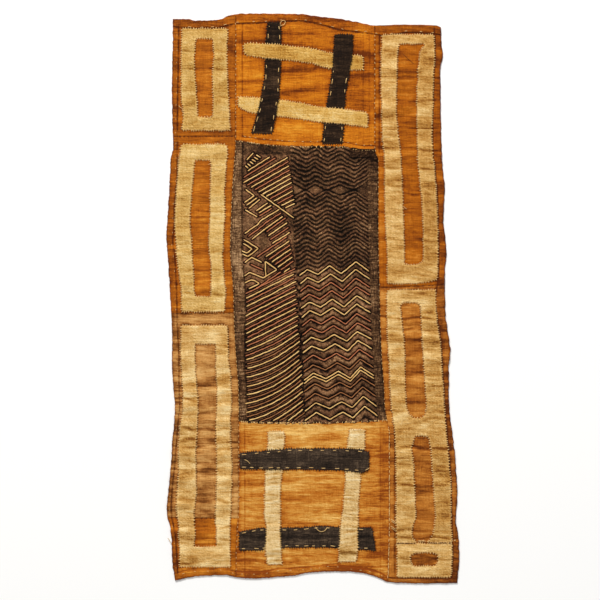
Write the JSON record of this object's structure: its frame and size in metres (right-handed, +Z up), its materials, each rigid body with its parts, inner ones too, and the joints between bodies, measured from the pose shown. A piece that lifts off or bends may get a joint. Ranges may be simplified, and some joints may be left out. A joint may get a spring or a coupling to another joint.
{
  "type": "kuba raffia cloth",
  "caption": "Flat pieced raffia cloth with cut-out cream frames, crossing black and cream strips and a dark embroidered centre panel.",
  "frame": {"origin": "on the surface the cloth lies on, under the middle of its bounding box", "axes": "+X across the cloth to the right seen from its face, +Y along it to its top edge, +Z up out of its face"},
  "size_m": [0.586, 1.14, 0.0051],
  "materials": {
    "raffia_orange": "dyed plain-woven raffia, matt with a slight fibre sheen",
    "raffia_rust": "dyed plain-woven raffia, matt with a slight fibre sheen",
    "raffia_tan": "faded plain-woven raffia, matt",
    "raffia_gold": "dyed plain-woven raffia, matt with a slight fibre sheen",
    "raffia_dark": "dark dyed raffia, densely embroidered in cream, terracotta and brown",
    "raffia_cream": "undyed plain-woven raffia, matt",
    "raffia_black": "black dyed plain-woven raffia, matt"
  },
  "bodies": {
    "root": {"ground_left_top": "raffia_orange", "ground_left_mid": "raffia_orange", "ground_left_low": "raffia_tan", "ground_left_foot": "raffia_orange", "ground_right_top": "raffia_rust", "ground_right_low": "raffia_rust", "panel_top": "raffia_orange", "panel_dark": "raffia_dark", "panel_bottom": "raffia_gold", "frame_left_top": "raffia_cream", "frame_left_mid": "raffia_cream", "frame_left_low": "raffia_cream", "frame_right_top": "raffia_cream", "frame_right_low": "raffia_cream", "frame_right_foot": "raffia_cream", "strip_black_a": "raffia_black", "strip_black_b": "raffia_black", "strip_cream_a": "raffia_cream", "strip_cream_b": "raffia_cream", "strip_black_upper": "raffia_black", "strip_black_lower": "raffia_black", "strip_cream_c": "raffia_cream", "strip_cream_d": "raffia_cream"}
  },
  "joints": []
}
